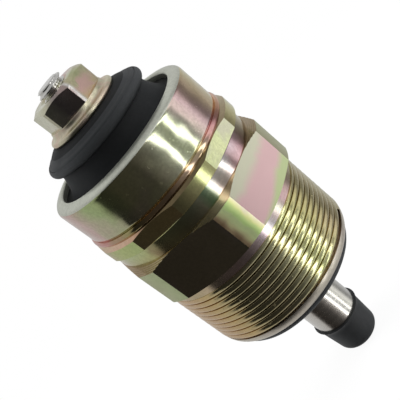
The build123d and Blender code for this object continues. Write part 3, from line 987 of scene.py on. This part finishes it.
class SOLENOID_OT_pump_thread(bpy.types.Operator):
    """Cut the fine outside thread as a screwed sleeve round the housing's core"""

    bl_idname = "solenoid.pump_thread"
    bl_label = "Pump thread"

    def execute(self, context):
        s, r, _ = prepare()
        pitch = s.thread_pitch
        depth = r.thread - r.thread_root
        shape = [*HALF_THREAD, THREAD_CREST, *((1 - along, drop) for along, drop in reversed(HALF_THREAD))]
        profile = [(r.thread - depth * drop, pitch * along + THREAD_PHASE) for along, drop in shape]
        obj = screw_thread("pump_thread", profile, pitch, -s.thread_len - 0.03, 0.02, 144, 0.92)
        smooth(obj, 30)
        # The thread's roots get brown dirt and painted shade
        material = zinc(
            "Zinc on the thread",
            THREAD_STOPS,
            thread_root_dirt_and_shade,
            pink=0.15,
            rough=(0.09, 0.17),
            rings=14000.0,
            waver=3.0,
            dust=0.4,
        )
        finish_piece(obj, BODY, ["housing"], [material])
        return {"FINISHED"}


class SOLENOID_OT_nose_ring(bpy.types.Operator):
    """Turn the black sealing ring in the nose"""

    bl_idname = "solenoid.nose_ring"
    bl_label = "Nose ring"

    def execute(self, context):
        _, r, tone = prepare()
        centre = (r.nose_face - RING_SEAT_INSET - RING_SEAT_WIDTH / 2, HOUSING_LOW - 0.25)
        obj = turned("nose_ring", arc(centre, NOSE_RING_R, 0, 345, 23))
        smooth(obj, 40)
        material = soft_black("Nose ring rubber", tone["rubber"], rough=(0.4, 0.55))
        finish_piece(obj, BODY, ["nose_o_ring"], [material])
        return {"FINISHED"}


class SOLENOID_OT_grommet(bpy.types.Operator):
    """Mould the rubber grommet: clamped base, flare, neck and domed disc"""

    bl_idname = "solenoid.grommet"
    bl_label = "Rubber grommet"

    def execute(self, context):
        _, r, tone = prepare()
        top = GROMMET_TOP
        base = GROMMET_LOW
        disc_low = top - DOME_HEIGHT - DISC_HEIGHT
        lip_low = base + GROMMET_BASE_HEIGHT
        flare = (r.flare, lip_low)
        neck = (r.neck, disc_low - 0.35)
        middle = ((flare[0] + neck[0]) / 2 - 0.15, (flare[1] + neck[1]) / 2 - 0.15)
        edge = (r.disc - DISC_EDGE, disc_low + DISC_EDGE)
        bore = r.stud + 0.05
        points = [(bore, base), (GROMMET_BASE_R - 0.05, base), (GROMMET_BASE_R, base + 0.05)]
        points += [(GROMMET_BASE_R, lip_low - 0.05), (GROMMET_BASE_R - 0.05, lip_low)]
        points += [(flare[0] + 0.25, lip_low), (flare[0] + 0.08, lip_low + 0.06)]
        points += curve_through(flare, middle, neck, 12)[1:]
        points += [(neck[0] - 0.04, disc_low - 0.12), (neck[0] + 0.04, disc_low - 0.02)]
        points += [(edge[0] - 0.2, disc_low), *arc(edge, DISC_EDGE, -70, 55, 12)]
        points += curve_through((r.disc - 0.45, disc_low + 1.2), (7.75, top - 0.90), (7.3, top - 0.76), 5)
        points += curve_through((7.2, top - 0.70), (6.5, top - 0.32), (5.6, top - 0.02), 6)
        points += [(5.4, top), (bore, top)]
        obj = turned("grommet_rubber", points, steps=160)
        smooth(obj, 28)
        black = tone["rubber"]
        upper = soft_black("Grommet rubber", black, rough=(0.55, 0.72))
        lower = soft_black("Shaded rubber", dimmed(black, 0.45), rough=(0.60, 0.75), specular=0.2)

        # Painted shade: the darker copy of the rubber goes on the base, the flare and the neck below the
        # disc, and on the top round the nut
        def choose(centre, normal):
            return 0 if disc_low + 0.1 < centre.z <= top - 0.5 else 1

        finish_piece(obj, BODY, ["rubber_grommet"], [upper, lower], choose)
        return {"FINISHED"}


class SOLENOID_OT_terminal(bpy.types.Operator):
    """Make the threaded terminal stud and its flange nut"""

    bl_idname = "solenoid.terminal"
    bl_label = "Terminal stud and nut"

    def execute(self, context):
        s, r, tone = prepare()
        self.make_stud(s, r, tone)
        self.make_nut(s, r)
        return {"FINISHED"}

    def make_stud(self, s, r, tone):
        """The stud's core with its hidden head, and the thread round it."""
        pitch = s.stud_pitch
        root = r.stud - STUD_THREAD_DEPTH
        low = STUD_LOW
        head_top = low + STUD_HEAD_HEIGHT
        points = [(0, low), (STUD_HEAD_R - 0.1, low), (STUD_HEAD_R, low + 0.1)]
        points += [(STUD_HEAD_R, head_top - 0.1), (STUD_HEAD_R - 0.1, head_top), (root + 0.02, head_top)]
        points += [(root + 0.02, STUD_TOP - 0.12), (root - 0.12, STUD_TOP), (0, STUD_TOP)]
        core = turned("stud_core", points, closed=False, steps=64)
        profile = [(root, 0.0), (root + 0.03, pitch * 0.14)]
        profile += [(r.stud - drop, pitch * along) for along, drop in STUD_CREST]
        profile += [(root + 0.03, pitch * 0.92), (root, pitch)]
        thread = screw_thread("stud_thread", profile, pitch, head_top + 0.1, STUD_TOP - 0.18, 64, 0.7)
        stud = join("terminal_stud_steel", [core, thread])
        smooth(stud, 25)
        silver = plain_metal("Stud steel", tone["steel"], rough=(0.16, 0.30), rings=9000.0, grain=0.2)
        finish_piece(stud, BODY, ["terminal_stud"], [silver])

    def make_nut(self, s, r):
        """The nut's chamfered hexagon on its round flange."""
        low = GROMMET_TOP
        top = NUT_TOP
        bore = r.stud + 0.05
        corner_top = top - (NUT_CORNER_R - NUT_TOP_R) * math.tan(math.radians(30))
        points = [(bore + 0.25, low + 0.1), (NUT_CORNER_R, low + 0.1), (NUT_CORNER_R, corner_top)]
        slope = (NUT_CORNER_R - 0.05, corner_top + 0.03)
        points += curve_through(slope, (3.95, top - 0.26), (NUT_TOP_R, top - 0.02), 5)
        points += [(NUT_TOP_R - 0.1, top), (bore + 0.35, top), (bore, top - 0.3)]
        hexagon = turned("nut_hexagon", points, steps=120)
        mill_flats(hexagon, s.nut_across, CAMERA_AZIMUTH + NUT_FLAT_FROM_CAMERA)
        flange_top = low + NUT_FLANGE_HEIGHT
        points = [(bore + 0.25, low), (r.nut_flange - 0.3, low)]
        points += arc((r.nut_flange - 0.36, low + 0.36), 0.36, -80, 80, 9)
        points += curve_through((r.nut_flange - 0.5, low + 0.74), (4.68, low + 0.94), (4.48, low + 1.36), 7)
        points += [(4.44, low + 1.41), (4.0, flange_top), (bore + 0.25, flange_top)]
        flange = turned("nut_flange", points, steps=120)
        nut = join("flange_nut_zinc", [hexagon, flange])
        smooth(nut, 14)
        shared = {"patch": 420.0, "depth": 6e-6}
        plated = zinc("Zinc on the nut", NUT_STOPS, nut_blush, rough=(0.18, 0.28), **shared)
        beige = plain(0.82, 0.77, 0.56)
        rim = zinc("Zinc on the nut's flange", beige, flange_blush, pink=0.2, rough=(0.30, 0.42), **shared)

        def choose(centre, normal):
            return 1 if centre.z < flange_top - 0.01 else 0

        finish_piece(nut, BODY, ["flange_nut"], [plated, rim], choose)


class SOLENOID_OT_plunger(bpy.types.Operator):
    """Turn the bright plunger and mould its rubber tip"""

    bl_idname = "solenoid.plunger"
    bl_label = "Plunger and tip"

    def execute(self, context):
        _, r, tone = prepare()
        top = PLUNGER_HIGH
        spring_floor = top - SPRING_BORE_DEPTH
        neck = TIP_HIGH - SPIGOT_NECK
        spigot = [(SPIGOT_R, TIP_HIGH), (SPIGOT_R, neck), (SPIGOT_HEAD_R, neck)]
        spigot += [(SPIGOT_HEAD_R, PLUNGER_LOW), (0, PLUNGER_LOW)]
        points = [(0, spring_floor), (SPRING_BORE_R, spring_floor), (SPRING_BORE_R, top - 0.1)]
        points += [(SPRING_BORE_R + 0.1, top), (ARMATURE_R - 0.15, top), (ARMATURE_R, top - 0.15)]
        points += [(ARMATURE_R, NOSE_FLOOR + 0.1), (ARMATURE_R - 0.1, NOSE_FLOOR)]
        points += [(r.shaft + 0.02, NOSE_FLOOR), (r.shaft, NOSE_FLOOR - 0.1)]
        points += [(r.shaft, TIP_HIGH + 0.12), (r.shaft - 0.05, TIP_HIGH), *spigot]
        steel = turned("plunger_steel", points, closed=False, steps=128)
        smooth(steel, 20)
        # The plunger's colours round the axis hold a painted highlight and a painted dark band
        film = {"depth": 4e-7, "grain": 0.08, "pits": 0.0, "stops": PLUNGER_STOPS}
        bright = plain_metal("Plunger steel", tone["steel"], rough=(0.20, 0.25), rings=9000.0, **film)
        finish_piece(steel, PLUNGER_BODY, ["plunger"], [bright])

        end = (r.tip_end - 1.15, TIP_LOW + 1.15)
        points = [(0, TIP_LOW), (end[0], TIP_LOW), *arc(end, 1.15, -90, 0, 10)[1:]]
        points += [(3.62, TIP_HIGH - 1.3)]
        lip = (r.tip_lip - 0.03, TIP_HIGH - 0.05)
        points += curve_through((3.63, TIP_HIGH - 1.2), (3.72, TIP_HIGH - 0.50), lip, 7)
        points += [(r.tip_lip, TIP_HIGH), (r.tip_lip - 0.12, TIP_HIGH + 0.02), *spigot]
        rubber = turned("tip_rubber", points, closed=False, steps=128)
        smooth(rubber, 28)
        black = soft_black("Tip rubber", dimmed(tone["rubber"], 0.7), rough=(0.42, 0.58))
        finish_piece(rubber, PLUNGER_BODY, ["plunger_tip"], [black])
        return {"FINISHED"}


class SOLENOID_OT_return_spring(bpy.types.Operator):
    """Wind the return spring between the ends of its CAD part"""

    bl_idname = "solenoid.return_spring"
    bl_label = "Return spring"

    def execute(self, context):
        s, r, tone = prepare()
        foot, head = span("return_spring")
        wire = s.spring_wire / 2
        deselect_all()
        bpy.ops.mesh.primitive_circle_add(
            vertices=10,
            radius=wire * MM,
            location=((r.spring - wire) * MM, 0, (foot + wire) * MM),
            rotation=(math.pi / 2, 0, 0),
        )
        obj = called("return_spring_wire")
        bpy.ops.object.transform_apply(location=True, rotation=True, scale=False)
        wind(obj, (head - foot - 2 * wire) / SPRING_TURNS, SPRING_TURNS, 36)
        edit(obj)
        bpy.ops.mesh.fill_holes(sides=0)
        leave_edit()
        smooth(obj, 50)
        material = plain_metal("Spring steel", tone["inner_steel"], rough=(0.3, 0.45), rings=9000.0)
        finish_piece(obj, BODY, ["return_spring"], [material])
        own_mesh(obj)
        return {"FINISHED"}


class SOLENOID_OT_inner_parts(bpy.types.Operator):
    """Give the hidden inner pieces their finishes"""

    bl_idname = "solenoid.inner_parts"
    bl_label = "Inner pieces"

    def execute(self, context):
        _, _, tone = prepare()
        steel = plain_metal("Inner steel", tone["inner_steel"], rough=(0.35, 0.5))
        brass = plain_metal("Brass", tone["brass"], rough=(0.25, 0.4))
        copper = plain_metal("Enamelled copper", tone["copper"], rough=(0.25, 0.4), rings=9000.0)
        seal = soft_black("Seal rubber", tone["rubber"])
        moulding = soft_black("Dark moulding", tone["moulding"], rough=(0.4, 0.5))
        woven = soft_black("Woven tape", tone["tape"], rough=(0.7, 0.85), specular=0.2)
        for material, nodes in (
            (steel, ("spacer_ring", "fixed_core", "cone_washer")),
            (brass, ("contact_washer", "guide_tube", "pole_shim")),
            (copper, ("coil_winding", "live_wire", "earth_wire")),
            (seal, ("core_seal_ring", "foot_ring")),
            (moulding, ("cover_disc", "coil_bobbin")),
            (woven, ("winding_tape",)),
        ):
            for node in nodes:
                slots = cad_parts[node].data.materials
                if len(slots):
                    slots[0] = material
                else:
                    slots.append(material)
        return {"FINISHED"}


class SOLENOID_OT_stage(bpy.types.Operator):
    """Lay the pale floor, set the soft light and place the camera"""

    bl_idname = "solenoid.stage"
    bl_label = "Floor, light and camera"

    def execute(self, context):
        stage = context.scene.solenoid_stage
        self.lay_floor(stage)
        self.light_surroundings(stage)
        self.add_lamps(stage)
        self.add_camera(stage)
        context.scene.view_settings.view_transform = "Standard"
        return {"FINISHED"}

    def lay_floor(self, stage):
        """A pale floor under the tip that keeps a soft shadow and lets the metal see the surroundings."""
        deselect_all()
        bpy.ops.mesh.primitive_plane_add(size=stage.floor_size, location=(0, 0, TIP_LOW * MM))
        floor = bpy.context.object
        floor.name = "floor"
        bpy.ops.object.transform_apply(location=True, rotation=False, scale=False)
        material, tree, vector = start_material("Pale floor")
        matte = add(tree, "ShaderNodeBsdfDiffuse", {"Color": (0.9, 0.9, 0.9, 1)}).outputs[0]
        glow = add(tree, "ShaderNodeEmission", {"Color": (1, 1, 1, 1), "Strength": 1.0}).outputs[0]
        clear = add(tree, "ShaderNodeBsdfTransparent").outputs[0]
        path = add(tree, "ShaderNodeLightPath").outputs
        fade = ramp_between(tree, length(tree, vector), 0.03, 0.12, 0.92, 1.0)
        fade = maths(tree, "MULTIPLY", path["Is Camera Ray"], fade)
        pale = add(tree, "ShaderNodeMixShader", {0: fade, 1: matte, 2: glow}).outputs[0]
        through = maths(tree, "MAXIMUM", path["Is Glossy Ray"], path["Is Shadow Ray"])
        seen = add(tree, "ShaderNodeMixShader", {0: through, 1: pale, 2: clear}).outputs[0]
        add(tree, "ShaderNodeOutputMaterial", {"Surface": seen})
        floor.data.materials.append(material)

    def light_surroundings(self, stage):
        """Surroundings of a soft studio, which only the metal sees: the camera sees white."""
        world = bpy.data.worlds.new("Studio")
        bpy.context.scene.world = world
        tree = empty_tree(world)
        direction = add(tree, "ShaderNodeTexCoord").outputs["Generated"]
        walls = around(tree, direction, SURROUNDINGS)
        steep = ramp_between(tree, maths(tree, "ABSOLUTE", height_of(tree, direction)), 0.75, 0.95)
        tone = mix_colour(tree, steep, walls, (0.18, 0.18, 0.18))
        camera_ray = add(tree, "ShaderNodeLightPath").outputs["Is Camera Ray"]
        lit = {"Color": tone, "Strength": 2.5 * stage.surroundings}
        reflected = add(tree, "ShaderNodeBackground", lit).outputs[0]
        white = add(tree, "ShaderNodeBackground", {"Color": (1, 1, 1, 1), "Strength": 1.0}).outputs[0]
        mixed = add(tree, "ShaderNodeMixShader", {0: camera_ray, 1: reflected, 2: white}).outputs[0]
        add(tree, "ShaderNodeOutputWorld", {"Surface": mixed})

    def add_lamps(self, stage):
        """Two broad soft lamps for the matte pieces."""
        for name, place in (
            ("Soft lamp left", (-0.36, -0.03, 0.15)),
            ("Soft lamp right", (0.28, 0.24, 0.15)),
        ):
            deselect_all()
            aim = Vector(place).to_track_quat("Z", "Y").to_euler()
            bpy.ops.object.light_add(type="AREA", location=place, rotation=aim)
            lamp = bpy.context.object
            lamp.name = name
            lamp.data.size = 0.35
            lamp.data.energy = stage.soft_light
            lamp.visible_glossy = False

    def add_camera(self, stage):
        """The camera stands where the photograph was taken from."""
        deselect_all()
        bpy.ops.object.camera_add()
        camera = bpy.context.object
        camera.name = "camera"
        right = Vector((0.6856, -0.0110, -0.7279))
        up = Vector((0.6202, 0.5324, 0.5761))
        back = Vector((0.3812, -0.8464, 0.3719))
        turn = Matrix((right, up, back)).transposed().to_4x4()
        camera.matrix_world = Matrix.Translation(Vector((34.221, -74.745, 37.834)) * MM) @ turn
        camera.data.sensor_width = 36
        camera.data.lens = stage.lens
        camera.data.clip_start = 0.005
        camera.data.clip_end = 20
        bpy.context.scene.camera = camera


class SOLENOID_PT_panel(bpy.types.Panel):
    """The solenoid's operators, in the order in which they run"""

    bl_label = "Fuel shutoff solenoid"
    bl_idname = "SOLENOID_PT_panel"
    bl_space_type = "VIEW_3D"
    bl_region_type = "UI"
    bl_category = "Solenoid"

    def draw(self, context):
        for operator in OPERATORS:
            self.layout.operator(operator.bl_idname)
        for group in ("solenoid_sizes", "solenoid_finishes", "solenoid_stage"):
            box = self.layout.box()
            owner = getattr(context.scene, group)
            for key in type(owner).__annotations__:
                box.prop(owner, key)


OPERATORS = (
    SOLENOID_OT_housing,
    SOLENOID_OT_pump_thread,
    SOLENOID_OT_nose_ring,
    SOLENOID_OT_grommet,
    SOLENOID_OT_terminal,
    SOLENOID_OT_plunger,
    SOLENOID_OT_return_spring,
    SOLENOID_OT_inner_parts,
    SOLENOID_OT_stage,
)
CLASSES = (SolenoidSizes, SolenoidFinishes, SolenoidStage, *OPERATORS, SOLENOID_PT_panel)


def register():
    """Register the classes and hang the property groups on the scene."""
    for kind in CLASSES:
        bpy.utils.register_class(kind)
    bpy.types.Scene.solenoid_sizes = bpy.props.PointerProperty(type=SolenoidSizes)
    bpy.types.Scene.solenoid_finishes = bpy.props.PointerProperty(type=SolenoidFinishes)
    bpy.types.Scene.solenoid_stage = bpy.props.PointerProperty(type=SolenoidStage)


def unregister():
    """Take the property groups off the scene and unregister the classes."""
    del bpy.types.Scene.solenoid_sizes
    del bpy.types.Scene.solenoid_finishes
    del bpy.types.Scene.solenoid_stage
    for kind in reversed(CLASSES):
        bpy.utils.unregister_class(kind)


def main():
    """Build the whole object and its stage."""
    register()
    bpy.ops.solenoid.housing()
    bpy.ops.solenoid.pump_thread()
    bpy.ops.solenoid.nose_ring()
    bpy.ops.solenoid.grommet()
    bpy.ops.solenoid.terminal()
    bpy.ops.solenoid.plunger()
    bpy.ops.solenoid.return_spring()
    bpy.ops.solenoid.inner_parts()
    bpy.ops.solenoid.stage()
    deselect_all()


if __name__ == "__main__":
    main()
